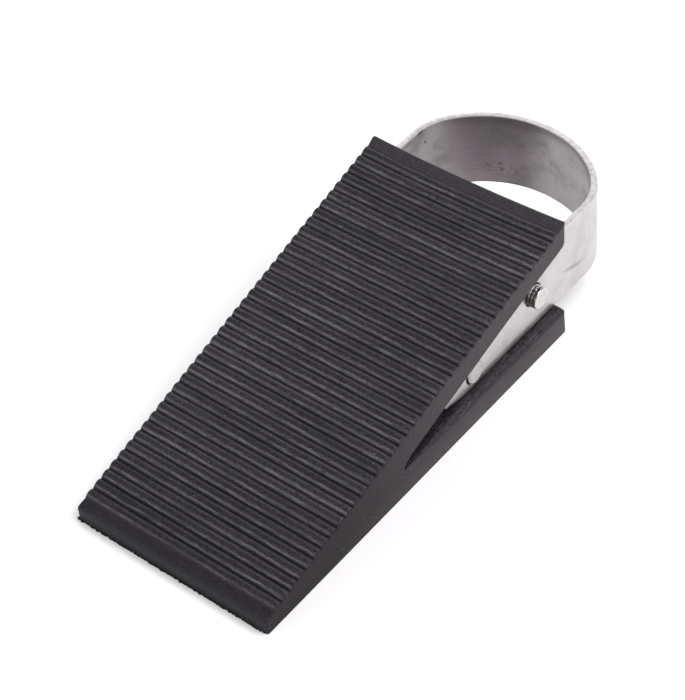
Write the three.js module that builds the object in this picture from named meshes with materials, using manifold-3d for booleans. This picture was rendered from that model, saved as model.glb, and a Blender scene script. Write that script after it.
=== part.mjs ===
// Door stop: a ribbed rubber wedge with a forked tail, and a U-shaped steel bow between its two leaves.
// The bow turns a few degrees on a pin through the solid middle of the wedge.
// Millimetres, +Z up. X runs across the wedge, Y from the nose towards the bow.
import * as THREE from "three";
import { mergeVertices } from "three/addons/utils/BufferGeometryUtils.js";
import Module from "manifold-3d";

const wasm = await Module();
wasm.setup();

// Rubber wedge
const WEDGE_LENGTH = 100;
const WEDGE_WIDTH = 50;
const NOSE_HEIGHT = 3.9;
const TREAD_SLOPE = 0.2725; // rise of the tread per millimetre of length
const RIB_HEIGHT = 0.6;
const RIB_PITCH = 2.5;
const RIB_COUNT = 38;
const RIB_STEPS = 4; // flats in the arc of one rib
const NOSE_BAND = 2.4; // plain strip in front of the first rib
const LEAF_THICKNESS = 7.1; // lower leaf
const LEAF_END_RADIUS = 1.4;
const BOTTOM_END_CHAMFER = 0.5;

// Slot between the leaves: open across the whole width behind the core, at the two sides beside it
const SLOT_START = 43.3;
const SLOT_TIP_ROUNDING = 0.5; // blunts the slot's narrow front end
const SLOT_ROOF_START = { y: 45.4, z: 9.4 };
const SLOT_ROOF_END = { y: 98.8, z: 25.4 };
const SLOT_ROOF_RISE = 0.35; // how far the roof bows up from straight
const SLOT_END_TOP = 26.3; // top of the chamfer at the upper leaf's tip
const SLOT_STEPS = 8;
const CORE_REAR = 80;
const CORE_HALF_WIDTH = 19.9;
const CORE_CORNER = 1.5;

// Steel bow, bent from flat strip
const STRIP = 1.5; // thickness
const BOW_HALF_WIDTH = 22.8; // to the outer face of an arm
const BOW_REAR = 128.4; // outermost point of the loop
const BOW_BACK_RADIUS = 25.4; // outer face
const BOW_SHOULDER_RADIUS = 13.5; // outer face
const BOW_BOTTOM = 7.4;
const BOW_TOP = 26.5;
const ARM_FRONT = 60;
const ARM_TIP = { low: 8.8, high: 11.6 };
const ARM_TIP_BEVEL = { y: 1, z: 1.4 }; // cuts the tip's upper corner
const ARM_HEEL = 66; // the lower edge lifts towards the tip from here
const ARM_NECK = { y: 101.6, z: 23.2 }; // foot of the step up to the full height of the loop
const ARM_CORNER = 1.5;
const BEND_STEPS = 14;

// Pins, seen from the side
const FRONT_PIN = { y: 70.2, z: 11.3 };
const REAR_STUD = { y: 91.1, z: 16.7 };
const PIN_RADIUS = 2.5;
const FRONT_PIN_HALF_LENGTH = 23.2;
const REAR_STUD_HALF_LENGTH = 25;
const CHAMFER = 0.4;
const THREAD_PITCH = 0.8;
const THREAD_DEPTH = 0.4;
const THREAD_TURNS = 3; // turns shown at each end of the stud
const ARM_PIN_CROWN = { y: FRONT_PIN.y, z: 16.75 }; // upper edge of the arm over the front pin

// Bushes in the core, and what sits on the rear stud
const GAP = 0.3; // between pieces that touch
const RUNNING_GAP = 0.15; // between the front pin and its bushes
const BUSH = { barrel: 3.3, flange: 3.9, flangeThickness: 0.8, length: 10 };
const WASHER = { outer: 4.5, thickness: 1.2, slit: 1, slitTilt: 0.3 }; // the tilt in radians
const NUT = { flats: 8, thickness: 2.7, chamfer: 0.5 };
const ROLLER_RADIUS = 4;
const ROUND_STEPS = 32;

const MATERIALS = {
  rubber: { color: 0x2b2a2d, roughness: 0.85, metalness: 0 },
  steel: { color: 0xc9c8c6, roughness: 0.35, metalness: 1 },
  zinc: { color: 0xb4b6ba, roughness: 0.3, metalness: 1 },
  nylon: { color: 0xd8d4c8, roughness: 0.5, metalness: 0 },
};

// Turns a shape drawn in (Y, Z) and extruded along its own third axis so that it runs along X.
const SIDE_VIEW = new THREE.Matrix4().set(0, 0, 1, 0, 1, 0, 0, 0, 0, 1, 0, 0, 0, 0, 0, 1);

function prism(outline, fromX, toX) {
  const shape = new THREE.Shape(outline.map(([y, z]) => new THREE.Vector2(y, z)));
  const geometry = new THREE.ExtrudeGeometry(shape, { depth: toX - fromX, bevelEnabled: false });
  return geometry.translate(0, 0, fromX).applyMatrix4(SIDE_VIEW);
}

// A turned piece along X: the profile is a list of [distance along X, radius].
function turned(profile, centre, steps = ROUND_STEPS) {
  const points = profile.map(([x, radius]) => new THREE.Vector2(radius, x));
  const geometry = new THREE.LatheGeometry(points, steps);
  return geometry.rotateZ(-Math.PI / 2).translate(0, centre.y, centre.z);
}

function rod(radius, fromX, toX, centre) {
  return turned([[fromX, 0], [fromX, radius], [toX, radius], [toX, 0]], centre);
}

function tube(inner, outer, fromX, toX, centre) {
  return turned([[fromX, inner], [fromX, outer], [toX, outer], [toX, inner], [fromX, inner]], centre);
}

function solid(geometry) {
  const bare = new THREE.BufferGeometry().setAttribute("position", geometry.getAttribute("position"));
  const merged = mergeVertices(bare.setIndex(geometry.index), 1e-4);
  const vertProperties = merged.getAttribute("position").array;
  const triVerts = new Uint32Array(merged.index.array);
  return new wasm.Manifold(new wasm.Mesh({ numProp: 3, vertProperties, triVerts }));
}

function geometryOf(manifold) {
  const { numProp, numVert, vertProperties, triVerts } = manifold.getMesh();
  const positions = new Float32Array(numVert * 3);
  for (let i = 0; i < numVert; i++) {
    positions.set(vertProperties.subarray(i * numProp, i * numProp + 3), i * 3);
  }
  return new THREE.BufferGeometry()
    .setAttribute("position", new THREE.BufferAttribute(positions, 3))
    .setIndex(new THREE.BufferAttribute(new Uint32Array(triVerts), 1));
}

function piece(name, material, geometry) {
  const mesh = new THREE.Mesh(geometry, new THREE.MeshStandardMaterial(MATERIALS[material]));
  mesh.name = name;
  return mesh;
}

// Points of an arc from one angle to another, in degrees, about a centre.
function arc(centreY, centreZ, radius, fromDegrees, toDegrees, steps) {
  return Array.from({ length: steps + 1 }, (_, i) => {
    const angle = THREE.MathUtils.degToRad(fromDegrees + ((toDegrees - fromDegrees) * i) / steps);
    return [centreY + radius * Math.cos(angle), centreZ + radius * Math.sin(angle)];
  });
}

function treadHeight(y) {
  return NOSE_HEIGHT + TREAD_SLOPE * y;
}

// The tread in side view, from the rear to the nose: a plain band that rises to the height of the ribs
// at its rear edge, the ribs, and the low nose band.
function treadOutline() {
  const points = [[WEDGE_LENGTH, treadHeight(WEDGE_LENGTH) + RIB_HEIGHT]];
  for (let rib = RIB_COUNT - 1; rib >= 0; rib--) {
    for (let step = RIB_STEPS; step > 0; step--) {
      const share = step / RIB_STEPS;
      const y = NOSE_BAND + (rib + share) * RIB_PITCH;
      points.push([y, treadHeight(y) + RIB_HEIGHT * 4 * share * (1 - share)]);
    }
  }
  points.push([NOSE_BAND, treadHeight(NOSE_BAND)], [0, NOSE_HEIGHT]);
  return points;
}

// The underside of the upper leaf in side view, from its tip to the front of the slot.
function slotRoof() {
  return Array.from({ length: SLOT_STEPS + 1 }, (_, step) => {
    const share = 1 - step / SLOT_STEPS;
    const straight = THREE.MathUtils.lerp(SLOT_ROOF_START.z, SLOT_ROOF_END.z, share);
    return [
      THREE.MathUtils.lerp(SLOT_ROOF_START.y, SLOT_ROOF_END.y, share),
      straight + SLOT_ROOF_RISE * 4 * share * (1 - share),
    ];
  });
}

// The open end of the slot in side view, shared by the side slots and the mouth behind the core.
function slotMouth() {
  const beyond = WEDGE_LENGTH + 1;
  const shoulder = LEAF_THICKNESS - LEAF_END_RADIUS;
  return [
    ...arc(WEDGE_LENGTH - LEAF_END_RADIUS, shoulder, LEAF_END_RADIUS, 90, 0, 4),
    [beyond, shoulder],
    [beyond, SLOT_END_TOP],
    [WEDGE_LENGTH, SLOT_END_TOP],
  ];
}

function sideSlotOutline() {
  return [
    [SLOT_START + SLOT_TIP_ROUNDING, LEAF_THICKNESS],
    ...slotMouth(),
    ...slotRoof(),
    [SLOT_START + SLOT_TIP_ROUNDING, LEAF_THICKNESS + 2 * SLOT_TIP_ROUNDING],
    [SLOT_START, LEAF_THICKNESS + SLOT_TIP_ROUNDING],
  ];
}

function mouthOutline() {
  const roof = slotRoof().filter(([y]) => y > CORE_REAR + CORE_CORNER);
  const share = (CORE_REAR - SLOT_ROOF_START.y) / (SLOT_ROOF_END.y - SLOT_ROOF_START.y);
  const roofAtCore = THREE.MathUtils.lerp(SLOT_ROOF_START.z, SLOT_ROOF_END.z, share);
  return [
    ...arc(CORE_REAR + CORE_CORNER, LEAF_THICKNESS + CORE_CORNER, CORE_CORNER, 180, 270, 4),
    ...slotMouth(),
    ...roof,
    [CORE_REAR, roofAtCore - CORE_CORNER],
  ];
}

function rubberWedge() {
  const side = WEDGE_WIDTH / 2;
  const outline = [
    [0, 0],
    [WEDGE_LENGTH - BOTTOM_END_CHAMFER, 0],
    [WEDGE_LENGTH, BOTTOM_END_CHAMFER],
    ...treadOutline(),
  ];
  let body = solid(prism(outline, -side, side));
  body = body.subtract(solid(prism(sideSlotOutline(), CORE_HALF_WIDTH, side + 1)));
  body = body.subtract(solid(prism(sideSlotOutline(), -side - 1, -CORE_HALF_WIDTH)));
  body = body.subtract(solid(prism(mouthOutline(), -CORE_HALF_WIDTH - 1, CORE_HALF_WIDTH + 1)));
  body = body.subtract(solid(rod(BUSH.barrel + GAP, -side, side, FRONT_PIN)));
  return piece("rubber_wedge", "rubber", geometryOf(body));
}

// The bow in plan view, as [x, y] points down the right side from the middle of the loop.
function bowHalfPlan(inset) {
  const back = BOW_BACK_RADIUS - inset;
  const shoulder = BOW_SHOULDER_RADIUS - inset;
  const backY = BOW_REAR - BOW_BACK_RADIUS;
  const shoulderX = BOW_HALF_WIDTH - BOW_SHOULDER_RADIUS;
  const shoulderY = backY + Math.sqrt((back - shoulder) ** 2 - shoulderX ** 2);
  const turn = THREE.MathUtils.radToDeg(Math.atan2(shoulderY - backY, shoulderX));
  return [
    ...arc(0, backY, back, 90, turn, BEND_STEPS),
    ...arc(shoulderX, shoulderY, shoulder, turn, 0, BEND_STEPS).slice(1),
    [BOW_HALF_WIDTH - inset, ARM_FRONT - 1],
  ];
}

function bowStrip() {
  const wholePlan = (half) => [...half.map(([x, y]) => [-x, y]).reverse(), ...half.slice(1)];
  const outer = wholePlan(bowHalfPlan(0));
  const inner = wholePlan(bowHalfPlan(STRIP));
  const plan = [...outer, ...inner.reverse()];
  const shape = new THREE.Shape(plan.map(([x, y]) => new THREE.Vector2(x, y)));
  const geometry = new THREE.ExtrudeGeometry(shape, { depth: BOW_TOP - BOW_BOTTOM, bevelEnabled: false });
  return geometry.translate(0, 0, BOW_BOTTOM);
}

// Side view of the whole strip: full height round the loop, and arms that narrow to follow the slot.
function bowSideOutline() {
  const beyond = BOW_REAR + 1;
  return [
    [ARM_FRONT, ARM_TIP.low],
    [ARM_HEEL, BOW_BOTTOM],
    [beyond, BOW_BOTTOM],
    [beyond, BOW_TOP],
    ...arc(ARM_NECK.y + ARM_CORNER, BOW_TOP - ARM_CORNER, ARM_CORNER, 90, 180, 4),
    [ARM_NECK.y, ARM_NECK.z],
    [ARM_PIN_CROWN.y, ARM_PIN_CROWN.z],
    [ARM_FRONT + ARM_TIP_BEVEL.y, ARM_TIP.high + ARM_TIP_BEVEL.z],
    [ARM_FRONT, ARM_TIP.high],
  ];
}

function steelBow() {
  let body = solid(bowStrip());
  body = body.intersect(solid(prism(bowSideOutline(), -WEDGE_WIDTH / 2, WEDGE_WIDTH / 2)));
  for (const pin of [FRONT_PIN, REAR_STUD]) {
    body = body.subtract(solid(rod(PIN_RADIUS + GAP, -WEDGE_WIDTH / 2, WEDGE_WIDTH / 2, pin)));
  }
  return piece("steel_bow", "steel", geometryOf(body));
}

function frontPin() {
  const end = FRONT_PIN_HALF_LENGTH;
  const profile = [
    [-end, 0],
    [-end, PIN_RADIUS - CHAMFER],
    [-end + CHAMFER, PIN_RADIUS],
    [end - CHAMFER, PIN_RADIUS],
    [end, PIN_RADIUS - CHAMFER],
    [end, 0],
  ];
  return piece("front_pin", "steel", turned(profile, FRONT_PIN));
}

// Half of the stud's profile, from its threaded end to its middle.
function studEndProfile() {
  const end = -REAR_STUD_HALF_LENGTH;
  const points = [
    [end, 0],
    [end, PIN_RADIUS - CHAMFER],
  ];
  for (let turn = 0; turn < THREAD_TURNS; turn++) {
    const crest = end + CHAMFER + turn * THREAD_PITCH;
    points.push(
      [crest, PIN_RADIUS],
      [crest + THREAD_PITCH / 4, PIN_RADIUS],
      [crest + (THREAD_PITCH * 5) / 8, PIN_RADIUS - THREAD_DEPTH],
    );
  }
  points.push([end + CHAMFER + THREAD_TURNS * THREAD_PITCH, PIN_RADIUS]);
  return points;
}

function rearStud() {
  const half = studEndProfile();
  const otherHalf = half.map(([x, radius]) => [-x, radius]).reverse();
  return piece("rear_stud", "zinc", turned([...half, ...otherHalf], REAR_STUD));
}

// Pieces that come in pairs are built for the right side and mirrored for the left.
function onSide(side, fromX, toX) {
  return side > 0 ? [fromX, toX] : [-toX, -fromX];
}

function bush(name, side) {
  const outerX = BOW_HALF_WIDTH - STRIP - GAP;
  const flangeX = outerX - BUSH.flangeThickness;
  const bore = PIN_RADIUS + RUNNING_GAP;
  const profile = [
    [flangeX - BUSH.length, bore],
    [flangeX - BUSH.length, BUSH.barrel],
    [flangeX, BUSH.barrel],
    [flangeX, BUSH.flange],
    [outerX, BUSH.flange],
    [outerX, bore],
    [flangeX - BUSH.length, bore],
  ];
  const sided = side > 0 ? profile : profile.map(([x, radius]) => [-x, radius]).reverse();
  return piece(name, "nylon", turned(sided, FRONT_PIN));
}

function lockWasher(name, side) {
  const outerX = BOW_HALF_WIDTH - STRIP - GAP;
  const [fromX, toX] = onSide(side, outerX - WASHER.thickness, outerX);
  const ring = solid(tube(PIN_RADIUS + GAP, WASHER.outer, fromX, toX, REAR_STUD));
  const slit = new THREE.BoxGeometry(WASHER.thickness * 2, WASHER.slit, WASHER.outer);
  const ringMiddle = (PIN_RADIUS + WASHER.outer) / 2;
  slit.rotateX(WASHER.slitTilt).translate((fromX + toX) / 2, REAR_STUD.y, REAR_STUD.z - ringMiddle);
  return piece(name, "zinc", geometryOf(ring.subtract(solid(slit))));
}

function jamNut(name, side) {
  const outerX = BOW_HALF_WIDTH - STRIP - 2 * GAP - WASHER.thickness;
  const [fromX, toX] = onSide(side, outerX - NUT.thickness, outerX);
  const corner = NUT.flats / Math.sqrt(3);
  const hexagon = arc(REAR_STUD.y, REAR_STUD.z, corner, 0, 360, 6).slice(0, 6);
  const rounded = [
    [fromX, 0],
    [fromX, corner - NUT.chamfer],
    [fromX + NUT.chamfer / 2, corner],
    [toX - NUT.chamfer / 2, corner],
    [toX, corner - NUT.chamfer],
    [toX, 0],
  ];
  let body = solid(prism(hexagon, fromX, toX));
  body = body.intersect(solid(turned(rounded, REAR_STUD)));
  body = body.subtract(solid(rod(PIN_RADIUS + GAP, fromX - 1, toX + 1, REAR_STUD)));
  return piece(name, "zinc", geometryOf(body));
}

function spacerRoller() {
  const end = BOW_HALF_WIDTH - STRIP - 3 * GAP - WASHER.thickness - NUT.thickness;
  const geometry = tube(PIN_RADIUS + GAP, ROLLER_RADIUS, -end, end, REAR_STUD);
  return piece("spacer_roller", "nylon", geometry);
}

const doorStop = new THREE.Group();
doorStop.add(
  rubberWedge(),
  steelBow(),
  frontPin(),
  rearStud(),
  bush("bush_left", -1),
  bush("bush_right", 1),
  lockWasher("lock_washer_left", -1),
  lockWasher("lock_washer_right", 1),
  jamNut("jam_nut_left", -1),
  jamNut("jam_nut_right", 1),
  spacerRoller(),
);
doorStop.position.y = -BOW_REAR / 2; // the origin is under the middle of the whole object

export default doorStop;
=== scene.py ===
import cmath
import math

import bmesh
import bpy
from mathutils import Matrix, Quaternion, Vector, noise


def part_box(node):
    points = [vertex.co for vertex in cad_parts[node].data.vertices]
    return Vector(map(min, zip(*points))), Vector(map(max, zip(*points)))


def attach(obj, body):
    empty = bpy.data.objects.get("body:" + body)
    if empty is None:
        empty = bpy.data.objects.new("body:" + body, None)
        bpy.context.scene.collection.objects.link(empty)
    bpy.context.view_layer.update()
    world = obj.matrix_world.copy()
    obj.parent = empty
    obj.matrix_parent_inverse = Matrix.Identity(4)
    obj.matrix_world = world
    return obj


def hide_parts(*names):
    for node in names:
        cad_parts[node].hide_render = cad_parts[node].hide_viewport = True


MM = 0.001

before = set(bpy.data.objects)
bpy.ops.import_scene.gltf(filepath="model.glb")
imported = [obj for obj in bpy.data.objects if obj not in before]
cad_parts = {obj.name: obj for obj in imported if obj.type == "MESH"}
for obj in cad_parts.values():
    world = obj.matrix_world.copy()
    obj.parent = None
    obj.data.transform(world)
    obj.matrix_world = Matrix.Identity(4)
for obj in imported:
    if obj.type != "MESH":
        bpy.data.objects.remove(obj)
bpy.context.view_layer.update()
ORIGIN = Vector((0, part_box("rubber_wedge")[0].y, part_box("rubber_wedge")[0].z))


def local_box(node):
    low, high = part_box(node)
    return (low - ORIGIN) / MM, (high - ORIGIN) / MM


WEDGE_END = local_box("rubber_wedge")[1]
BOW_START, BOW_END = local_box("steel_bow")
FRONT_PIN_START, FRONT_PIN_END = local_box("front_pin")
STUD_START, STUD_END = local_box("rear_stud")
FRONT_PIN = (FRONT_PIN_START + FRONT_PIN_END) / 2
REAR_STUD = (STUD_START + STUD_END) / 2
PIN_RADIUS = (FRONT_PIN_END.z - FRONT_PIN_START.z) / 2

# Rubber wedge
LENGTH = WEDGE_END.y
HALF_WIDTH = WEDGE_END.x
RIB_HEIGHT = 0.6
RIB_PITCH = 2.5
RIB_COUNT = 38
RIB_STEPS = 14
RIB_FULLNESS = 2.1  # 2 is a parabola; more gives a flatter crest and a narrower groove
NOSE_BAND = 2.4  # plain strip in front of the first rib
REAR_BAND = NOSE_BAND + RIB_COUNT * RIB_PITCH  # where the plain strip behind the last rib starts
NOSE_HEIGHT = 3.9
TREAD_SLOPE = (WEDGE_END.z - RIB_HEIGHT - NOSE_HEIGHT) / LENGTH
LEAF_THICKNESS = 7.1
ROOF_START = (45.4, 9.4)  # slot roof, in (Y, Z)
ROOF_END = (98.8, 25.4)
ROOF_RISE = 0.35  # of the roof's middle over a straight line
ROOF_STEPS = 14
FLOOR_STEPS = 14
SLOT_TIP = 43.3
# Radii of the corners between a side face and the surfaces round it
TREAD_EDGE = 0.5
NOSE_EDGE = 0.3
SLOT_FLOOR_EDGE = 1.6
SHARP_EDGE = 0.06
REAR_CORNER = 0.9  # of the upright corners at the tail
EDGE_DEPTHS = (0, 0.02, 0.06, 0.12, 0.2, 0.3, 0.4, 0.5, 0.75, 1.1, 1.6)  # in from the side face
SIDE_RIM = 0.08  # width of the flat rim round each side face
SECTION_STEP = 1.0  # between the wedge's sections across its width
REAR_SAG = 0.85  # of the tread's rear edge between its corners
SAG_START = 68
HEEL_BULGE = 0.35  # of the foot's right rear corner
RIPPLE_HEIGHT = 0.05
RIPPLE_LENGTH = 7
CORE_FRONT = 42
CORE_REAR = 80
CORE_HALF_WIDTH = 19.9
CORE_CORNER = 1.5
BORE_RADIUS = 3.45
FLASH_OVERHANG = 0.7  # of the flash past the left side
FLASH_STEPS = 320

# Steel bow
STRIP = 1.5
BOW_HALF_WIDTH = BOW_END.x
BACK_RADIUS = 25.4  # outer faces
SHOULDER_RADIUS = 13.5
ARM_NECK = (101.6, 23.2)
ARM_CROWN_Z = 16.75  # upper edge of the arm over the front pin
ARM_HEEL = 66
PIN_CLEARANCE = 0.3
FRONT_HOLE_CLEARANCE = 0.22
HOLE_PLAY = 0.16  # how far forward the arms' front holes sit on their pin

# Small dark marks on the strip, the third of them painted shade along a crease in the right arm's outer
# face: (run, thickness, height) on the flat blank, half size, turn, strength
STRIP_MARKS_AND_CREASE_SHADE = (
    ((-30.0, -0.75, 26.2), (1.4, 0.5, 0.28), 0.0, 0.9),
    ((-28.6, -0.75, 22.7), (0.35, 0.4, 0.6), 0.0, 0.8),
    # painted shade along a crease in the right arm's outer face
    ((35.6, 0.75, 13.5), (4.6, 0.4, 0.75), math.radians(16), 0.32),
    ((24.0, -0.75, 23.6), (1.2, 0.4, 0.35), 0.0, 0.6),
)
PITTED_PATCH = ((-10.2, -0.75, 12.0), (6.0, 0.6, 2.6))  # centre and half size on the same blank

# Thread of the rear stud
THREAD_PITCH = 0.8
THREAD_DEPTH = 0.46
THREAD_LENGTH = 8.4
THREAD_STEP = 0.05
STUD_EDGE = 0.25  # rounding of its end

# Bushes, nuts and washers
FLANGE_REACH = 0.6  # of a bush's flange past its barrel
FLANGE_THICKNESS = 0.8
WASHER_CLIMB = 0.16  # from one end of its slit to the other
WASHER_SLIT = 0.28  # of the turn, in radians
NUT_COUNTERSINK = 0.35
NUT_SHOULDER = 0.97  # where the chamfer of the corners starts, as a share of the apothem


# Mesh tools

def loft(rings, around=False):
    """Vertices and faces of a closed surface through closed rings of as many points each."""
    size = len(rings[0])
    points = [point for ring in rings for point in ring]
    faces = []
    for ring in range(len(rings) if around else len(rings) - 1):
        here = ring * size
        there = (ring + 1) % len(rings) * size
        for i in range(size):
            j = (i + 1) % size
            faces.append((here + i, here + j, there + j, there + i))
    if not around:
        faces.append(tuple(range(size)))
        faces.append(tuple(range(len(points) - size, len(points))))
    return points, faces


def drawn(name, surface):
    """A mesh object in millimetres, with its faces pointing out."""
    mesh = bpy.data.meshes.new(name)
    mesh.from_pydata(surface[0], [], surface[1])
    shape = bmesh.new()
    shape.from_mesh(mesh)
    bmesh.ops.recalc_face_normals(shape, faces=shape.faces)
    shape.to_mesh(mesh)
    shape.free()
    piece = bpy.data.objects.new(name, mesh)
    bpy.context.scene.collection.objects.link(piece)
    return piece


def combined(piece, other, operation):
    """Joins other to piece, or cuts it out, and removes other."""
    modifier = piece.modifiers.new(operation, "BOOLEAN")
    modifier.operation = operation
    modifier.solver = "EXACT"
    modifier.object = other
    graph = bpy.context.evaluated_depsgraph_get()
    mesh = bpy.data.meshes.new_from_object(piece.evaluated_get(graph))
    piece.modifiers.clear()
    piece.data = mesh
    bpy.data.objects.remove(other)


def finished(piece, body, slot, material, *nodes, crease=35):
    """Places a drawn piece in the frame, in metres, gives it its material and body, and hides the parts it
    stands for.
    """
    piece.data.transform(Matrix.Translation(ORIGIN) @ Matrix.Scale(MM, 4))
    piece.data.materials.clear()
    piece.data.materials.append(material)
    piece.data.shade_smooth()
    piece.data.set_sharp_from_angle(angle=math.radians(crease))
    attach(piece, body)
    if nodes:
        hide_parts(*nodes)
    return piece


def rounded(corners, steps=5):
    """A closed outline of complex points from (u, v, radius) corners, each turned into an arc."""
    points = []
    for index, (u, v, radius) in enumerate(corners):
        here = complex(u, v)
        if not radius:
            points.append(here)
            continue
        behind = here - complex(*corners[index - 1][:2])
        ahead = complex(*corners[(index + 1) % len(corners)][:2]) - here
        turn = cmath.phase(ahead / behind)
        start = here - behind / abs(behind) * radius * math.tan(abs(turn) / 2)
        centre = start + behind / abs(behind) * 1j * math.copysign(radius, turn)
        for step in range(steps + 1):
            points.append(centre + (start - centre) * cmath.exp(1j * turn * step / steps))
    return points


def inset(outline, amounts):
    """A counter-clockwise outline of complex points, each moved inwards by its own amount."""
    moved = []
    for index, (here, amount) in enumerate(zip(outline, amounts)):
        behind = here - outline[index - 1]
        ahead = outline[(index + 1) % len(outline)] - here
        inward = 1j * (behind / abs(behind) + ahead / abs(ahead))
        inward /= abs(inward)
        mitre = max(0.6, (inward.conjugate() * 1j * ahead / abs(ahead)).real)
        moved.append(here + inward * amount / mitre)
    return moved


def ease(value, start, end):
    share = min(1, max(0, (value - start) / (end - start)))
    return share * share * (3 - 2 * share)


def lump(value, middle, width):
    return math.exp(-((value - middle) / width) ** 2)


# Rubber

def tread_height(y):
    return NOSE_HEIGHT + TREAD_SLOPE * y


def roof_height(y):
    share = (y - ROOF_START[0]) / (ROOF_END[0] - ROOF_START[0])
    straight = ROOF_START[1] + (ROOF_END[1] - ROOF_START[1]) * share
    return straight + ROOF_RISE * 4 * share * (1 - share)


def fork_outline():
    """The wedge with its slot in side view, counter-clockwise as complex Y + Z i."""
    corners = [
        (0, 0, 0.5),
        (LENGTH, 0, 0.5),
        (LENGTH, LEAF_THICKNESS, 1.4),
    ]
    for step in range(FLOOR_STEPS):
        y = LENGTH - 3 - (LENGTH - SLOT_TIP - 6) * step / (FLOOR_STEPS - 1)
        corners.append((y, LEAF_THICKNESS, 0))
    corners += [
        (SLOT_TIP, LEAF_THICKNESS, 0.3),
        (SLOT_TIP + 0.5, ROOF_START[1] - 1.1, 0.8),
    ]
    for step in range(ROOF_STEPS):
        y = ROOF_START[0] + (ROOF_END[0] - ROOF_START[0]) * step / (ROOF_STEPS - 1)
        corners.append((y, roof_height(y), 0))
    corners += [
        (LENGTH, ROOF_END[1] + 0.9, 0.4),
        (LENGTH, tread_height(LENGTH) + RIB_HEIGHT, 0.3),
        (REAR_BAND, tread_height(REAR_BAND), 0),
    ]
    for rib in reversed(range(RIB_COUNT)):
        for step in range(RIB_STEPS - 1, -1, -1):
            share = (1 - math.cos(math.pi * step / RIB_STEPS)) / 2
            y = NOSE_BAND + (rib + share) * RIB_PITCH
            crest = 1 - abs(2 * share - 1) ** RIB_FULLNESS
            corners.append((y, tread_height(y) + RIB_HEIGHT * crest, 0))
    corners.append((0, NOSE_HEIGHT, 0.8))
    return rounded(corners)


def wobble(place):
    """A smooth noise vector, the same at every run, which mathutils' own noise_vector is not."""
    return Vector([noise.noise(place + Vector((0, 0, 31.7 * axis))) for axis in range(3)])


def settled(x, y, z):
    """Where a point of the moulded wedge ends up: its rear edge sags, and only its foot is quite flat."""
    height = min(1, max(0, (z - roof_height(y)) / (tread_height(y) - roof_height(y))))
    sag = REAR_SAG * (1 - abs(x / HALF_WIDTH) ** 2.5) * ease(y, SAG_START, LENGTH + 8) * height
    heel = HEEL_BULGE * lump(x, HALF_WIDTH, 2) * lump(y, LENGTH, 2.5) * lump(z, 0, 2)
    ripple = wobble(Vector((x, y, z)) / RIPPLE_LENGTH) * RIPPLE_HEIGHT
    low = ease(z, 0, 0.8)  # the foot stays flat on the floor
    return Vector((x + ripple.x * low, y + ripple.y + heel, z + ripple.z * low - sag))


def side_radius(point):
    """Radius of the corner between the side face and the surface at a point of the outline."""
    y, z = point.real, point.imag
    if y < 1 and z > 0.3:
        return NOSE_EDGE
    if y > SLOT_TIP and z < LEAF_THICKNESS + 0.1:
        above = ease(z, LEAF_THICKNESS - 1.6, LEAF_THICKNESS - 0.2)
        return SHARP_EDGE + (SLOT_FLOOR_EDGE - SHARP_EDGE) * above * ease(y, SLOT_TIP, SLOT_TIP + 16)
    above = ease(z, tread_height(y) - 0.8, tread_height(y) - 0.1)
    rear_corner = 1 - 0.6 * ease(y, LENGTH - 4, LENGTH - 1)
    return SHARP_EDGE + (TREAD_EDGE - SHARP_EDGE) * above * rear_corner


def rounding(radius, depth):
    """How far a rounded corner's surface is set back, a depth in from the side face."""
    left = max(0, radius - depth)
    return radius - math.sqrt(radius * radius - left * left)


def wedge_sections():
    """The wedge's outline at places across it; both ends close with a flat rim round the side face."""
    outline = fork_outline()
    radii = [side_radius(point) for point in outline]
    edge = [(-HALF_WIDTH, inset(outline, [radius + SIDE_RIM for radius in radii]))]
    for depth in EDGE_DEPTHS:
        edge.append((depth - HALF_WIDTH, inset(outline, [rounding(radius, depth) for radius in radii])))
    count = round(2 * HALF_WIDTH / SECTION_STEP)
    span = HALF_WIDTH - EDGE_DEPTHS[-1] - SECTION_STEP / 2
    middle = [(span * (2 * i / count - 1), outline) for i in range(count + 1)]
    for index, (x, points) in enumerate(edge):
        limit = LENGTH - rounding(REAR_CORNER, x + HALF_WIDTH)
        edge[index] = (x, [complex(min(point.real, limit), point.imag) for point in points])
    rings = edge + middle + [(-x, points) for x, points in reversed(edge)]
    return [[settled(x, point.real, point.imag) for point in points] for x, points in rings]


def core_block():
    """The solid middle that joins the two leaves in front of the mouth."""
    roof = roof_height(CORE_REAR)
    corners = [
        (CORE_FRONT, LEAF_THICKNESS - 2, 0),
        (CORE_REAR + 3, LEAF_THICKNESS - 2, 0),
        (CORE_REAR + 3, LEAF_THICKNESS, 0),
        (CORE_REAR, LEAF_THICKNESS, CORE_CORNER),
        (CORE_REAR, roof, CORE_CORNER),
        (CORE_REAR + 3, roof_height(CORE_REAR + 3), 0),
        (CORE_REAR + 3, roof + 3, 0),
        (CORE_FRONT, roof_height(CORE_FRONT) + 1, 0),
    ]
    outline = rounded(corners)
    ends = (-CORE_HALF_WIDTH, CORE_HALF_WIDTH)
    rings = [[(x, point.real, point.imag) for point in outline] for x in ends]
    return drawn("core", loft(rings))


def rubber_wedge(material):
    piece = drawn("wedge_moulding", loft(wedge_sections()))
    combined(piece, core_block(), "UNION")
    bore = rod([(-CORE_HALF_WIDTH - 0.5, BORE_RADIUS), (CORE_HALF_WIDTH + 0.5, BORE_RADIUS)], FRONT_PIN)
    combined(piece, drawn("bore", bore), "DIFFERENCE")
    finished(piece, "wedge", "rubber", material, "rubber_wedge", crease=32)


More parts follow.
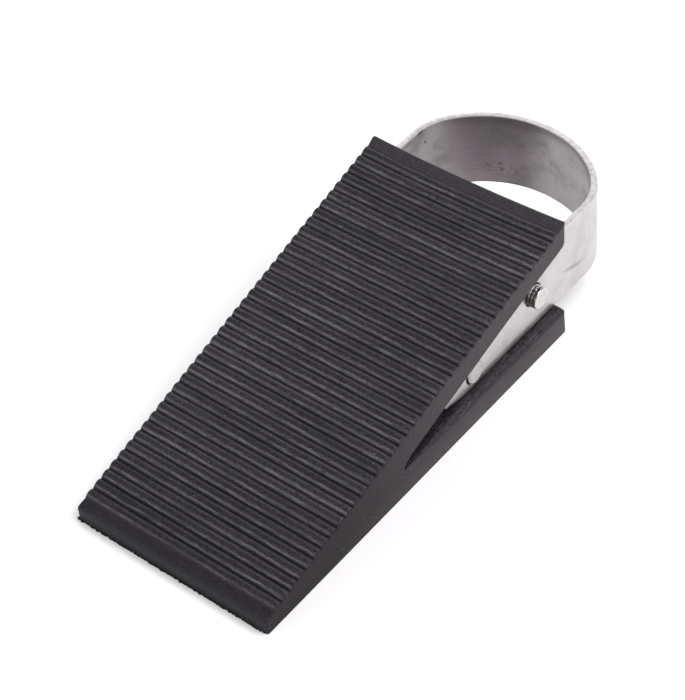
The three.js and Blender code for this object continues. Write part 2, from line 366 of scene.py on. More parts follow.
def moulding_flash(material):
    """The thin ragged lip that the mould leaves along the bottom of the nose, past its left corner too."""
    rings = []
    for i in range(FLASH_STEPS + 1):
        share = i / FLASH_STEPS
        x = (HALF_WIDTH + FLASH_OVERHANG) * (share - 1) + (HALF_WIDTH - 0.5) * share
        coarse = noise.noise(Vector((x / 1.6, 3.1, 0)))
        fine = noise.noise(Vector((x * 2.3, 9.4, 0)))
        ends = ease(i, -1, 4) * ease(FLASH_STEPS - i, -1, 8)
        reach = (0.17 + 0.22 * abs(coarse) + 0.22 * fine) * ends
        thickness = (0.2 + 0.1 * coarse + 0.08 * fine) * (0.4 + 0.6 * ends)
        rings.append([
            (x, 0.8, 0.01),
            (x, -reach, 0.01),
            (x, -reach - 0.03, thickness * 0.6),
            (x, -reach * 0.6, thickness),
            (x, 0.8, thickness * 1.3),
        ])
    finished(drawn("moulding_flash", loft(rings)), "wedge", "rubber", material)


# Turned pieces, along X

def ring_at(x, radius, centre, steps):
    angles = [2 * math.pi * i / steps for i in range(steps)]
    return [(x, centre.y + radius * math.cos(a), centre.z + radius * math.sin(a)) for a in angles]


def rod(profile, centre, steps=64):
    """A solid round piece through (x, radius) points."""
    return loft([ring_at(x, radius, centre, steps) for x, radius in profile])


def tube(corners, centre, steps=96):
    """A hollow round piece from the (x, radius, rounding) corners of its section."""
    outline = rounded(corners, 3)
    rings = []
    for i in range(steps):
        angle = 2 * math.pi * i / steps
        rings.append([
            (point.real, centre.y + point.imag * math.cos(angle), centre.z + point.imag * math.sin(angle))
            for point in outline
        ])
    return loft(rings, around=True)


def pin_profile(end, radius, edge):
    """Half of a pin's profile: a slightly dished face inside a narrow rounded rim, and the shank."""
    face = radius - edge
    points = [(-end + 0.05, (face - 0.25) * share) for share in (0.4, 0.8, 1)]
    points.append((-end, face - 0.1))
    for step in range(5):
        angle = math.pi / 2 * step / 4
        points.append((-end + edge * (1 - math.cos(angle)), face + edge * math.sin(angle)))
    return points


def front_pin(material):
    half = pin_profile(FRONT_PIN_END.x, PIN_RADIUS, 0.12)
    whole = half + [(-x, radius) for x, radius in reversed(half)]
    piece = drawn("front_pin_turned", rod(whole, FRONT_PIN, 72))
    finished(piece, "bow", "pin_steel", material, "front_pin")


def thread_radius(x, angle):
    """Radius of the stud's thread at a place along it: flat crests, sloping flanks, flat roots."""
    phase = (x / THREAD_PITCH - angle / (2 * math.pi)) % 1
    valley = min(1, max(0, 2.2 * abs(2 * phase - 1) - 0.9))
    from_end = STUD_END.x - abs(x)
    runout = 1 - ease(from_end, THREAD_LENGTH - 1.2, THREAD_LENGTH)
    depth = THREAD_DEPTH * ease(from_end, 0.3, 0.8) * runout
    return PIN_RADIUS - depth * valley - rounding(STUD_EDGE, from_end)


def rear_stud(material):
    end = STUD_END.x
    count = round(THREAD_LENGTH / THREAD_STEP)
    places = [-end + THREAD_LENGTH * i / count for i in range(count + 1)]
    places += [-x for x in reversed(places)]
    steps = 80
    rings = []
    for x in places:
        radii = [thread_radius(x, 2 * math.pi * i / steps) for i in range(steps)]
        ring = ring_at(x, 1, REAR_STUD, steps)
        rings.append([
            (x, REAR_STUD.y + (y - REAR_STUD.y) * radius, REAR_STUD.z + (z - REAR_STUD.z) * radius)
            for (x, y, z), radius in zip(ring, radii)
        ])
    # The cut ends are dished a little inside their rims
    for place, radius in ((end, 2.2), (end - 0.06, 2.05), (end - 0.06, 1.2)):
        rings.insert(0, ring_at(-place, radius, REAR_STUD, steps))
        rings.append(ring_at(place, radius, REAR_STUD, steps))
    piece = drawn("rear_stud_threaded", loft(rings))
    finished(piece, "bow", "fastener", material, "rear_stud", crease=40)


def bush(side, material):
    node = f"bush_{side}"
    low, high = local_box(node)
    mirror = 1 if side == "right" else -1
    inner, outer = (low.x, high.x) if mirror > 0 else (-high.x, -low.x)
    flange = (high.z - low.z) / 2
    barrel = flange - FLANGE_REACH
    bore = PIN_RADIUS + 0.15
    shoulder = outer - FLANGE_THICKNESS
    corners = [
        (inner, bore, 0.2),
        (inner, barrel, 0.3),
        (shoulder, barrel, 0.12),
        (shoulder, flange, 0.2),
        (outer, flange, 0.25),
        (outer, bore, 0.25),
    ]
    sided = [(mirror * x, radius, rounding) for x, radius, rounding in corners]
    piece = drawn(f"{node}_moulded", tube(sided, FRONT_PIN))
    finished(piece, "wedge", "nylon", material, node)


def lock_washer(side, material):
    """A split spring washer: the ring climbs a little from one end of its slit to the other."""
    node = f"lock_washer_{side}"
    low, high = local_box(node)
    outer = (high.y - low.y) / 2
    section = rounded([
        (low.x + 0.08, PIN_RADIUS + PIN_CLEARANCE, 0.12),
        (high.x - 0.08, PIN_RADIUS + PIN_CLEARANCE, 0.12),
        (high.x - 0.08, outer, 0.2),
        (low.x + 0.08, outer, 0.2),
    ], 3)
    steps = 84
    rings = []
    for i in range(steps + 1):
        share = i / steps
        angle = -math.pi / 2 + WASHER_SLIT / 2 + (2 * math.pi - WASHER_SLIT) * share
        climb = WASHER_CLIMB * (share - 0.5)
        rings.append([
            (
                point.real + climb,
                REAR_STUD.y + point.imag * math.cos(angle + 0.3),
                REAR_STUD.z + point.imag * math.sin(angle + 0.3),
            )
            for point in section
        ])
    piece = drawn(f"{node}_split", loft(rings))
    finished(piece, "bow", "fastener", material, node)


def jam_nut(side, material):
    """A hexagon nut with chamfered corners and a countersunk bore."""
    node = f"jam_nut_{side}"
    low, high = local_box(node)
    apothem = (high.z - low.z) / 2
    bore = PIN_RADIUS + 0.05
    shoulder = apothem * NUT_SHOULDER
    steps = 120
    rings = []
    for i in range(steps):
        angle = 2 * math.pi * i / steps
        corner = (angle % (math.pi / 3)) - math.pi / 6
        flat = apothem / math.cos(corner)
        drop = (flat - shoulder) * math.tan(math.radians(30))
        section = [
            (low.x + NUT_COUNTERSINK, bore),
            (low.x, bore + NUT_COUNTERSINK),
            (low.x, shoulder),
            (low.x + drop, flat),
            (high.x - drop, flat),
            (high.x, shoulder),
            (high.x, bore + NUT_COUNTERSINK),
            (high.x - NUT_COUNTERSINK, bore),
        ]
        rings.append([
            (x, REAR_STUD.y + radius * math.cos(angle), REAR_STUD.z + radius * math.sin(angle))
            for x, radius in section
        ])
    piece = drawn(f"{node}_hexagon", loft(rings, around=True))
    finished(piece, "bow", "fastener", material, node, crease=20)


def spacer_roller(material):
    low, high = local_box("spacer_roller")
    radius = (high.z - low.z) / 2
    bore = PIN_RADIUS + PIN_CLEARANCE
    corners = [
        (low.x, bore, 0.3),
        (low.x, radius, 0.5),
        (-0.35, radius, 0.15),
        (0, radius - 0.12, 0.2),
        (0.35, radius, 0.15),
        (high.x, radius, 0.5),
        (high.x, bore, 0.3),
    ]
    piece = drawn("spacer_roller_turned", tube(corners[::-1], REAR_STUD))
    finished(piece, "roller", "nylon", material, "spacer_roller")


# Steel bow: a flat blank in (run along the strip, thickness, height), drilled, then bent

BACK_Y = BOW_END.y - BACK_RADIUS
SHOULDER_X = BOW_HALF_WIDTH - SHOULDER_RADIUS
SHOULDER_Y = BACK_Y + math.sqrt((BACK_RADIUS - SHOULDER_RADIUS) ** 2 - SHOULDER_X ** 2)
BACK_TURN = math.pi / 2 - math.atan2(SHOULDER_Y - BACK_Y, SHOULDER_X)
BACK_RUN = (BACK_RADIUS - STRIP / 2) * BACK_TURN
SHOULDER_RUN = (SHOULDER_RADIUS - STRIP / 2) * (math.pi / 2 - BACK_TURN)
BEND_END = BACK_RUN + SHOULDER_RUN
RIGHT_BULGE = 0.3


def run_to(y):
    """Distance along the strip from the middle of the loop to a place on a straight arm."""
    return BEND_END + SHOULDER_Y - y


def blank_outline():
    """The blank's outline, counter-clockwise as complex run + height i."""
    tip = run_to(BOW_START.y)
    low, high = BOW_START.z, BOW_END.z
    right = [
        (run_to(ARM_HEEL), low, 6),
        (tip, low + 1.4, 0.8),
        (tip, 11.6, 0.6),
        (tip - 1, 13, 0.8),
        (run_to(FRONT_PIN.y), ARM_CROWN_Z, 4),
        (run_to(ARM_NECK[0]), ARM_NECK[1], 0.5),
        (run_to(ARM_NECK[0]), high, 1.4),
    ]
    left = [(-run, z, radius) for run, z, radius in reversed(right)]
    return rounded(right + left, 6)


def bent(run, out, z):
    """Where a point of the flat blank goes: out is its distance from the strip's middle plane."""
    side = math.copysign(1, run)
    run = abs(run)
    if side > 0:
        out += RIGHT_BULGE * lump(run, 17, 11)
    out += 0.04 * noise.noise(Vector((side * run / 8, z / 9, 1.7)))
    if run < BACK_RUN:
        angle = math.pi / 2 - run / (BACK_RADIUS - STRIP / 2)
        reach = BACK_RADIUS - STRIP / 2 + out
        return Vector((side * reach * math.cos(angle), BACK_Y + reach * math.sin(angle), z))
    if run < BEND_END:
        angle = math.pi / 2 - BACK_TURN - (run - BACK_RUN) / (SHOULDER_RADIUS - STRIP / 2)
        reach = SHOULDER_RADIUS - STRIP / 2 + out
        x = SHOULDER_X + reach * math.cos(angle)
        return Vector((side * x, SHOULDER_Y + reach * math.sin(angle), z))
    return Vector((side * (BOW_HALF_WIDTH - STRIP / 2 + out), SHOULDER_Y - (run - BEND_END), z))


def drill(run, z, radius):
    """A cutter across the blank, flared a little where it leaves each face."""
    half = STRIP / 2
    flare = 0.04
    profile = [(-half - 1, flare + 1), (-half, flare), (flare - half, 0)]
    profile += [(-out, reach) for out, reach in reversed(profile)]
    steps = 72
    rings = []
    for out, reach in profile:
        angles = [2 * math.pi * i / steps for i in range(steps)]
        rings.append([
            (run + (radius + reach) * math.cos(a), out, z + (radius + reach) * math.sin(a))
            for a in angles
        ])
    return drawn("drill", loft(rings))


def sliced(mesh, axis, places):
    """Cuts the mesh's faces along planes across one axis, so that it can bend there."""
    shape = bmesh.new()
    shape.from_mesh(mesh)
    normal = Vector((0, 0, 0))
    normal[axis] = 1
    for place in places:
        everything = shape.verts[:] + shape.edges[:] + shape.faces[:]
        bmesh.ops.bisect_plane(shape, geom=everything, plane_co=normal * place, plane_no=normal, dist=1e-4)
    shape.to_mesh(mesh)
    shape.free()


def steel_bow(material):
    outline = blank_outline()
    # Rolled-over edge on the outside, sharper sheared edge on the inside
    layers = [
        (-STRIP / 2, 0.12), (-STRIP / 2 + 0.04, 0.04), (-STRIP / 2 + 0.12, 0),
        (STRIP / 2 - 0.22, 0), (STRIP / 2 - 0.08, 0.05), (STRIP / 2 - 0.02, 0.13), (STRIP / 2, 0.24),
    ]
    rings = []
    for out, amount in layers:
        moved = inset(outline, [amount] * len(outline))
        rings.append([(point.real, out, point.imag) for point in moved])
    piece = drawn("bow_strip", loft(rings))
    for side in (-1, 1):
        front_run = side * run_to(FRONT_PIN.y - HOLE_PLAY)
        front = drill(front_run, FRONT_PIN.z - HOLE_PLAY / 2, PIN_RADIUS + FRONT_HOLE_CLEARANCE)
        combined(piece, front, "DIFFERENCE")
        rear = drill(side * run_to(REAR_STUD.y), REAR_STUD.z, PIN_RADIUS + PIN_CLEARANCE)
        combined(piece, rear, "DIFFERENCE")
    steps = 64
    bends = [BEND_END * 1.06 * (2 * i / steps - 1) for i in range(steps + 1)]
    arms = [BEND_END * 1.06 + 2.5 * i for i in range(1, 20)]
    sliced(piece.data, 0, bends + arms + [-place for place in arms])
    sliced(piece.data, 2, [BOW_START.z + 2.1 * i for i in range(1, 9)])
    flat = piece.data.attributes.new("flat", "FLOAT_VECTOR", "POINT")
    for index, vertex in enumerate(piece.data.vertices):
        flat.data[index].vector = vertex.co
        vertex.co = bent(*vertex.co)
    finished(piece, "bow", "bow_steel", material, "steel_bow", crease=32)


# Materials

class Look:
    """A material under construction: each call adds a node and gives its output."""

    def __init__(self, name):
        self.material = bpy.data.materials.new(name)
        self.material.use_nodes = True
        self.tree = self.material.node_tree
        self.surface = self.tree.nodes["Principled BSDF"]

    def node(self, kind, inputs, output=0, **settings):
        node = self.tree.nodes.new("ShaderNode" + kind)
        for key, value in settings.items():
            setattr(node, key, value)
        for key, value in inputs.items():
            self.set(node.inputs[key], value)
        return node.outputs[output]

    def set(self, socket, value):
        if isinstance(value, bpy.types.NodeSocket):
            self.tree.links.new(value, socket)
        else:
            socket.default_value = value

    def math(self, operation, a, b=0.0):
        return self.node("Math", {0: a, 1: b}, operation=operation)

    def times(self, first, *others):
        for other in others:
            first = self.math("MULTIPLY", first, other)
        return first

    def opposite(self, share):
        return self.math("SUBTRACT", 1.0, share)

    def scaled(self, vector, factors):
        return self.node("VectorMath", {0: vector, 1: factors}, operation="MULTIPLY")

    def noise(self, vector, detail=3.0, roughness=0.6):
        settings = {"Vector": vector, "Scale": 1.0, "Detail": detail, "Roughness": roughness}
        return self.node("TexNoise", settings)

    def ramp(self, value, from_low, from_high, low=0.0, high=1.0):
        limits = {"Value": value, 1: from_low, 2: from_high, 3: low, 4: high}
        return self.node("MapRange", limits, interpolation_type="SMOOTHSTEP")

    def mix(self, share, a, b):
        return self.node("Mix", {0: share, 2: a, 3: b}, data_type="FLOAT")

    def blend(self, share, a, b):
        return self.node("Mix", {0: share, 6: a, 7: b}, output=2, data_type="RGBA")

    def spot(self, place, centre, half_size, turn=0.0):
        """1 in a soft ellipse of a flat blank's (run, thickness, height), 0 outside it."""
        moved = self.node("VectorMath", {0: place, 1: centre}, operation="SUBTRACT")
        turned = self.node("VectorRotate", {"Vector": moved, "Angle": turn}, rotation_type="Y_AXIS")
        shaped = self.node("VectorMath", {0: turned, 1: half_size}, operation="DIVIDE")
        distance = self.node("VectorMath", {0: shaped}, output=1, operation="LENGTH")
        return self.ramp(distance, 1.0, 0.45)

    def part(self, vector, axis):
        return self.node("SeparateXYZ", {0: vector}, output="XYZ".index(axis))

    def place_mm(self):
        """Place on the object, in millimetres."""
        place = self.node("TexCoord", {}, output="Object")
        return self.scaled(place, (1 / MM,) * 3)

    def bump(self, height, depth_mm, below=None):
        """The normal over a relief, which may lie on another relief."""
        inputs = {"Height": height, "Distance": depth_mm * MM, "Strength": 1.0}
        if below is not None:
            inputs["Normal"] = below
        return self.node("Bump", inputs)

    def finish(self, **inputs):
        for key, value in inputs.items():
            self.set(self.surface.inputs[key.replace("_", " ")], value)
        return self.material


def grey(value, warmth=0.0):
    return (value * (1 + warmth), value, value * (1 - warmth), 1)


def mauve(value):
    """A grey with a trace less green and blue, for steel under the lights' own tint."""
    return (value, value * 0.962, value * 0.968, 1)


def rubber():
    """Moulded charcoal rubber: ribs with dusty flanks under a painted highlight line, painted shade in the
    grooves, plainer sides, pale specks.
    """
    look = Look("moulded_rubber")
    place = look.place_mm()
    fine = look.noise(look.scaled(place, (4.5, 4.5, 4.5)), 2)
    grain = look.noise(look.scaled(place, (1.5, 1.9, 1.9)), 3, 0.75)
    streaks = look.noise(look.scaled(place, (0.22, 1.9, 1.9)), 4, 0.7)
    patches = look.noise(look.scaled(place, (0.06, 0.1, 0.1)), 3)
    wear = look.noise(look.scaled(place, (0.035, 0.3, 0.3)), 3, 0.65)

    # Thin cuts that run across the ribs here and there
    wander = look.noise(look.scaled(place, (0.5, 0.05, 0.05)), 3)
    off_line = look.math("ABSOLUTE", look.math("SUBTRACT", wander, 0.5))
    cuts = look.times(look.ramp(off_line, 0.009, 0.003), look.ramp(patches, 0.5, 0.58))

    # Which face of the wedge a point is on
    normal = look.node("NewGeometry", {}, output="Normal")
    y = look.math("SUBTRACT", look.part(place, "Y"), ORIGIN.y / MM)
    slope = look.math("ADD", look.math("MULTIPLY", y, TREAD_SLOPE), NOSE_HEIGHT)
    above = look.math("SUBTRACT", look.part(place, "Z"), slope)
    up = look.ramp(look.part(normal, "Z"), 0.25, 0.55)
    top = look.ramp(above, -2.4, -1.7)
    tread = look.times(top, up)
    slot_floor = look.times(look.opposite(top), up)
    side = look.ramp(look.math("ABSOLUTE", look.part(normal, "X")), 0.7, 0.95)
    behind_nose = look.ramp(y, NOSE_BAND, NOSE_BAND + 0.7)
    before_rear = look.ramp(y, REAR_BAND, REAR_BAND - 0.3)
    ribbed = look.times(behind_nose, before_rear, tread)

    # Where a point of the tread lies between one groove (0) and the next (1)
    phase = look.math("FRACT", look.math("DIVIDE", look.math("SUBTRACT", y, NOSE_BAND), RIB_PITCH))
    # Painted shade in the grooves: darker colour here, and lower gloss further down
    groove = look.math("MAXIMUM", look.ramp(phase, 0.15, 0.01), look.ramp(phase, 0.74, 0.95))
    groove = look.times(groove, ribbed)
    # A narrow lighter line along each rib's nose-facing flank: dusty there, and a painted highlight
    sway = look.noise(look.scaled(place, (0.2, 0.8, 0.8)), 2)
    shifted = look.math("ADD", phase, look.ramp(sway, 0.25, 0.75, -0.06, 0.06))
    flank = look.times(look.ramp(shifted, 0.09, 0.17), look.ramp(shifted, 0.3, 0.21))
    crest = look.times(look.ramp(phase, 0.26, 0.38), look.ramp(phase, 0.68, 0.52))
    worn_and_highlight = look.times(flank, ribbed, look.ramp(streaks, 0.3, 0.6))
    dust_and_highlight = look.times(worn_and_highlight, look.ramp(patches, 0.3, 0.65, 0.35, 1.0))

    mottle = look.ramp(grain, 0.3, 0.7)
    tone = look.blend(mottle, (0.0075, 0.0068, 0.0086, 1), (0.0155, 0.014, 0.0172, 1))
    tone = look.blend(side, tone, (0.0125, 0.0108, 0.0125, 1))
    # Lighter along the nose-facing flanks: partly dusty rubber, partly a painted highlight
    tone = look.blend(dust_and_highlight, tone, (0.044, 0.0435, 0.048, 1))
    # Painted shade darkens the grooves
    tone = look.blend(look.times(groove, 0.8), tone, (0.003, 0.0027, 0.0033, 1))
    scratches = look.noise(look.scaled(place, (4.5, 0.22, 4.5)), 1, 0.5)
    scratched = look.times(look.ramp(scratches, 0.64, 0.69), slot_floor)
    tone = look.blend(look.times(scratched, 0.7), tone, (0.07, 0.064, 0.068, 1))
    specks = look.node(
        "TexVoronoi", {"Vector": look.scaled(place, (0.42, 0.42, 0.42)), "Scale": 1.0}, output="Distance")
    tone = look.blend(look.ramp(specks, 0.055, 0.03), tone, (0.16, 0.16, 0.155, 1))

    # The plain bands, the slot floor, the ribs and the sides each have their own gloss
    speckle = look.ramp(fine, 0.3, 0.7, 0.65, 1.4)
    gloss = look.times(look.mix(tread, 0.1, look.ramp(y, NOSE_BAND, REAR_BAND, 0.16, 0.44)), speckle)
    gloss = look.mix(slot_floor, gloss, look.ramp(grain, 0.3, 0.7, 0.06, 0.3))
    rib_gloss = look.times(
        look.ramp(grain, 0.3, 0.7, 0.26, 0.5),
        look.ramp(crest, 0.0, 1.0, 1.0, 0.62),
        look.ramp(y, 0, 50, 0.8, 1.0),
        look.ramp(wear, 0.3, 0.7, 0.7, 1.4),
        speckle,
        look.ramp(dust_and_highlight, 0.0, 1.0, 0.86, 1.65),
        look.opposite(look.times(cuts, 0.6)),
    )
    gloss = look.mix(ribbed, gloss, rib_gloss)
    side_gloss = look.ramp(y, 20, 65, 0.07, 0.265)
    side_gloss = look.times(side_gloss, look.ramp(grain, 0.3, 0.7, 0.8, 1.2), speckle)
    gloss = look.mix(side, gloss, side_gloss)
    gloss = look.times(gloss, look.opposite(look.times(groove, 0.6)))
    depth = look.mix(side, look.mix(tread, 0.7, 1.0), 0.3)
    relief = None
    for height, depth_mm in ((patches, 0.2), (streaks, 0.09), (grain, 0.11), (fine, 0.03)):
        relief = look.bump(look.times(height, depth), depth_mm, relief)
    return look.finish(
        Base_Color=tone,
        Roughness=look.ramp(grain, 0.3, 0.7, 0.36, 0.5),
        Specular_IOR_Level=gloss,
        Specular_Tint=look.blend(side, (1.0, 0.985, 1.0, 1), (1.0, 0.86, 0.975, 1)),
        Normal=relief,
    )


def brushed_steel():
    """Stainless strip: brushed across its height outside, along its run inside, with fine marks; the inner
    face has a darker base as painted shade, lighter in two places as painted reflection.
    """
    look = Look("brushed_strip")
    flat = look.node("Attribute", {}, output="Vector", attribute_name="flat")
    inside = look.ramp(look.part(flat, "Y"), -0.6, -0.7)
    across = look.noise(look.scaled(flat, (6.0, 1.0, 0.13)), 4, 0.65)
    along = look.noise(look.scaled(flat, (0.16, 1.0, 4.2)), 5, 0.7)
    brushing = look.mix(inside, across, along)
    stains = look.noise(look.scaled(flat, (0.14, 0.3, 0.16)), 4, 0.6)
    pits = look.noise(look.scaled(flat, (1.1, 1.0, 2.4)), 5, 0.75)
    dents = look.noise(look.scaled(flat, (1.3, 1.0, 1.5)), 2, 0.6)
    lines = look.ramp(brushing, 0.32, 0.68)
    outer = look.blend(lines, mauve(0.53), mauve(0.61))
    # The inner face is the same steel with a darker base: painted shade
    inner = look.blend(lines, (0.26, 0.23, 0.247, 1), (0.34, 0.301, 0.323, 1))
    run = look.part(flat, "X")
    # Painted reflections: the inner face is made lighter right of the loop's middle and far to its left
    painted_reflection = look.math("ADD", look.ramp(run, -6, 4), look.ramp(run, -16, -26, 0.0, 0.6))
    inner = look.blend(look.times(painted_reflection, 0.85), inner, mauve(0.60))
    tone = look.blend(inside, outer, inner)
    smudge = look.ramp(stains, 0.45, 0.72, 0.0, 0.5)
    # Stains, darker still on the inner face as part of its painted shade
    tone = look.blend(smudge, tone, look.blend(inside, mauve(0.43), mauve(0.2)))
    normal = look.node("NewGeometry", {}, output="Normal")
    edge = look.ramp(look.math("ABSOLUTE", look.part(normal, "Z")), 0.5, 0.8)
    edge_tone = look.blend(look.ramp(pits, 0.4, 0.6), grey(0.52, 0.01), grey(0.4, 0.02))
    tone = look.blend(edge, tone, edge_tone)
    tone = look.blend(look.ramp(pits, 0.64, 0.74, 0.0, 0.6), tone, grey(0.12, 0.03))
    pitted = look.times(look.ramp(dents, 0.53, 0.63, 0.0, 0.55), look.spot(flat, *PITTED_PATCH))
    tone = look.blend(pitted, tone, grey(0.05, 0.05))
    # Dark marks, the third of them painted shade along a crease
    for centre, half_size, turn, strength in STRIP_MARKS_AND_CREASE_SHADE:
        mark = look.times(look.spot(flat, centre, half_size, turn), strength)
        tone = look.blend(mark, tone, grey(0.03, 0.05))
    relief = look.bump(stains, 0.05)
    relief = look.bump(brushing, 0.005, relief)
    relief = look.bump(pits, 0.012, relief)
    rough = look.ramp(brushing, 0.3, 0.7, 0.30, 0.38)
    rough = look.math("ADD", rough, look.ramp(stains, 0.3, 0.8, 0.0, 0.1))
    rough = look.math("ADD", rough, look.times(look.math("MAXIMUM", inside, edge), 0.08))
    return look.finish(
        Base_Color=tone,
        Metallic=1.0,
        Roughness=rough,
        Anisotropic=look.times(look.opposite(inside), 0.45),
        Tangent=look.node("Tangent", {}, direction_type="RADIAL", axis="Z"),
        Normal=relief,
    )


def bright_steel(name, tone_value, roughness, warmth, threaded=False):
    """Cut or plated steel: faint turning marks, small dull spots, and in a stud's thread brown dirt in the
    roots with painted shade over its lower part.
    """
    look = Look(name)
    place = look.place_mm()
    marks = look.noise(look.scaled(place, (9, 3, 3)), 4)
    spots = look.noise(look.scaled(place, (1.1, 1.1, 1.1)), 4, 0.7)
    clean, dull = grey(tone_value, warmth), grey(tone_value * 0.6, warmth * 2)
    tone = look.blend(look.ramp(spots, 0.45, 0.75), clean, dull)
    rough = look.ramp(marks, 0.3, 0.7, roughness * 0.8, roughness * 1.3)
    metal = 1.0
    if threaded:
        axis = ORIGIN / MM + REAR_STUD
        from_axis = look.node("VectorMath", {0: place, 1: axis}, operation="SUBTRACT")
        radius = look.node(
            "VectorMath", {0: look.scaled(from_axis, (0, 1, 1))}, output=1, operation="LENGTH")
        from_middle = look.math("ABSOLUTE", look.part(place, "X"))
        behind_face = look.ramp(from_middle, STUD_END.x - 0.3, STUD_END.x - 0.5)
        low = look.ramp(radius, PIN_RADIUS - 0.06, PIN_RADIUS - 0.22)
        # Painted shade: darker over the lower part of the stud, its crests and the rim of its end too
        under = look.ramp(look.part(from_axis, "Z"), 1.9, 0.9, 0.0, 0.95)
        # Brown dirt in the thread's roots, together with the painted shade below
        grime_and_shade = look.times(look.math("MAXIMUM", low, under), behind_face)
        rim = look.times(look.ramp(radius, PIN_RADIUS - 0.18, PIN_RADIUS - 0.08), under)
        grime_and_shade = look.math("MAXIMUM", grime_and_shade, rim)
        tone = look.blend(grime_and_shade, tone, (0.055, 0.036, 0.026, 1))
        rough = look.mix(grime_and_shade, rough, 0.6)
        metal = look.opposite(look.times(grime_and_shade, 0.8))
    relief = look.bump(marks, 0.008)
    relief = look.bump(spots, 0.02, relief)
    return look.finish(Base_Color=tone, Metallic=metal, Roughness=rough, Normal=relief)


def nylon():
    """Natural moulded nylon: milky, slightly translucent, faintly scuffed."""
    look = Look("natural_nylon")
    place = look.place_mm()
    scuffs = look.noise(look.scaled(place, (0.8, 4, 4)), 4, 0.65)
    cloud = look.noise(look.scaled(place, (0.4, 0.4, 0.4)), 3)
    tone = look.blend(look.ramp(cloud, 0.35, 0.7), (0.60, 0.57, 0.50, 1), (0.70, 0.68, 0.61, 1))
    return look.finish(
        Base_Color=tone,
        Roughness=look.ramp(scuffs, 0.3, 0.7, 0.38, 0.55),
        Subsurface_Weight=0.25,
        Subsurface_Scale=0.8 * MM,
        Normal=look.bump(scuffs, 0.02),
    )


def paper():
    """Pale, almost white floor with the faintest tooth."""
    look = Look("pale_floor")
    place = look.place_mm()
    tooth = look.noise(look.scaled(place, (0.9, 0.9, 0.9)), 4)
    tone = look.blend(tooth, (0.80, 0.822, 0.80, 1), (0.82, 0.842, 0.82, 1))
    relief = look.bump(tooth, 0.01)
    return look.finish(Base_Color=tone, Roughness=0.9, Specular_IOR_Level=0.1, Normal=relief)


# Stage

FLOOR_HALF = 600
FLOOR_THICKNESS = 2
LIGHT_TINT = (1.0, 0.955, 1.0, 1)
# The sky is bright up to the first height and dim from the second, as shares of straight up
SKY_HEIGHTS = (0.15, 0.55)
HORIZON_STRENGTH = 1.3
DOME_STRENGTH = 0.25
# Azimuth and elevation in degrees, distance and size in metres, power in watts
SOFT_LIGHTS = {
    "top_softbox": (125, 62, 1.1, 0.8, 10.0),
    "right_softbox": (100, 40, 1.0, 0.8, 6.2),
    "left_card": (-105, 22, 1.1, 0.7, 1.3),
    "rear_card": (217, 34, 1.1, 0.6, 2.5),
    "key_softbox": (-38, 34, 1.0, 0.3, 3.4),
}
# What the camera looks at, and from where: millimetres, degrees and metres
AIM = Vector((-0.44, 56.42, 15.875))
VIEW_AZIMUTH = 42.80
VIEW_ELEVATION = 45.15
VIEW_ROLL = 5.83
VIEW_DISTANCE = 0.4394
FOCAL_LENGTH = 110.13
SENSOR_WIDTH = 36


def floor_sheet():
    half = FLOOR_HALF
    corners = ((-half, -half), (half, -half), (half, half), (-half, half))
    rings = [[(x, y, z) for x, y in corners] for z in (-FLOOR_THICKNESS, 0)]
    sheet = drawn("floor", loft(rings))
    sheet.data.transform(Matrix.Translation(ORIGIN) @ Matrix.Scale(MM, 4))
    sheet.data.materials.append(paper())


def soft_light(name, azimuth, elevation, distance, size, power):
    """A square area light that faces the object from a direction given as for the camera."""
    light = bpy.data.lights.new(name, "AREA")
    light.shape = "SQUARE"
    light.size = size
    light.energy = power
    light.color = LIGHT_TINT[:3]
    holder = bpy.data.objects.new(name, light)
    forward = facing(azimuth, elevation)
    holder.location = ORIGIN + AIM * MM - forward * distance
    holder.rotation_euler = forward.to_track_quat("-Z", "Y").to_euler()
    bpy.context.scene.collection.objects.link(holder)


def facing(azimuth, elevation):
    """The direction of a view from azimuth degrees round from the nose and elevation degrees up."""
    turn, rise = math.radians(azimuth), math.radians(elevation)
    return Vector((-math.sin(turn) * math.cos(rise), math.cos(turn) * math.cos(rise), -math.sin(rise)))


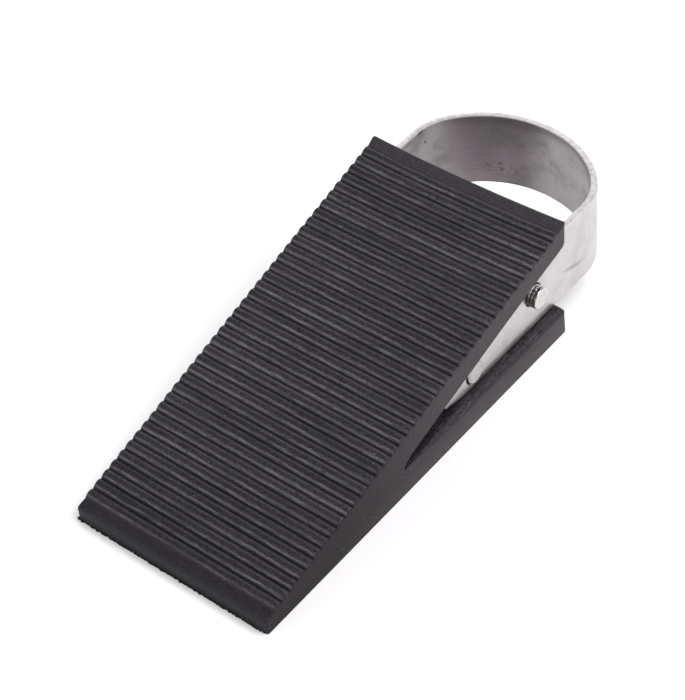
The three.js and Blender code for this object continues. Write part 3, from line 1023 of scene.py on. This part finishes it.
def studio():
    """A light tent: a bright ring at the horizon under a dimmer dome, and soft lights all round."""
    world = bpy.data.worlds.new("studio")
    world.use_nodes = True
    nodes, links = world.node_tree.nodes, world.node_tree.links
    height = nodes.new("ShaderNodeSeparateXYZ")
    links.new(nodes.new("ShaderNodeTexCoord").outputs["Generated"], height.inputs[0])
    strength = nodes.new("ShaderNodeMapRange")
    strength.interpolation_type = "SMOOTHSTEP"
    links.new(height.outputs["Z"], strength.inputs["Value"])
    for socket, value in zip(strength.inputs[1:5], (*SKY_HEIGHTS, HORIZON_STRENGTH, DOME_STRENGTH)):
        socket.default_value = value
    sky = nodes["Background"]
    sky.inputs["Color"].default_value = LIGHT_TINT
    links.new(strength.outputs[0], sky.inputs["Strength"])
    bpy.context.scene.world = world
    bpy.context.scene.view_settings.view_transform = "Standard"
    for name, settings in SOFT_LIGHTS.items():
        soft_light(name, *settings)


def camera():
    lens = bpy.data.cameras.new("camera")
    lens.lens = FOCAL_LENGTH
    lens.sensor_width = SENSOR_WIDTH
    lens.clip_start = 0.01
    holder = bpy.data.objects.new("camera", lens)
    forward = facing(VIEW_AZIMUTH, VIEW_ELEVATION)
    holder.location = ORIGIN + AIM * MM - forward * VIEW_DISTANCE
    level = forward.to_track_quat("-Z", "Y")
    holder.rotation_mode = "QUATERNION"
    holder.rotation_quaternion = Quaternion(forward, math.radians(VIEW_ROLL)) @ level
    bpy.context.scene.collection.objects.link(holder)
    bpy.context.scene.camera = holder


camera()
studio()
floor_sheet()

RUBBER = rubber()
PIN_STEEL = bright_steel("pin_steel", 0.5, 0.24, 0.012)
PLATED_STEEL = bright_steel("plated_steel", 0.5, 0.2, 0.03)
STUD_STEEL = bright_steel("threaded_steel", 0.6, 0.13, 0.02, threaded=True)
NYLON = nylon()

rubber_wedge(RUBBER)
moulding_flash(RUBBER)
steel_bow(brushed_steel())
front_pin(PIN_STEEL)
rear_stud(STUD_STEEL)
for side in ("left", "right"):
    bush(side, NYLON)
    lock_washer(side, PLATED_STEEL)
    jam_nut(side, PLATED_STEEL)
spacer_roller(NYLON)
